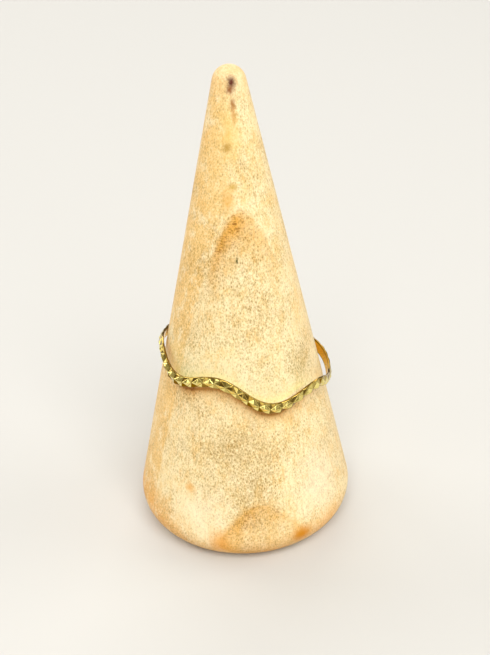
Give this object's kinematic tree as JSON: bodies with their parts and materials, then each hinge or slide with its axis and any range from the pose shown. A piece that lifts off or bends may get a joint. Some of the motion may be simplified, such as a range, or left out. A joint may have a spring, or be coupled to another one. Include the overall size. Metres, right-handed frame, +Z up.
{
  "type": "wave ring on wooden ring cone",
  "caption": "Slim gold finger ring whose band runs in a wave and is diamond-cut all round, standing tilted on a plain turned wooden display cone.",
  "frame": {"origin": "centre of the cone's flat base, on the surface that it stands on", "axes": "+Z up along the cone's axis to its tip; -Y is the front, where the ring's wave crosses the cone; +X is the side to which the ring leans down"},
  "size_m": [0.0234, 0.0234, 0.05],
  "materials": {
    "gold": "polished yellow gold with bright diamond-cut facets",
    "wood": "turned and sanded bare beech"
  },
  "bodies": {
    "root": {"wave_ring": "gold", "ring_cone": "wood"}
  },
  "joints": []
}
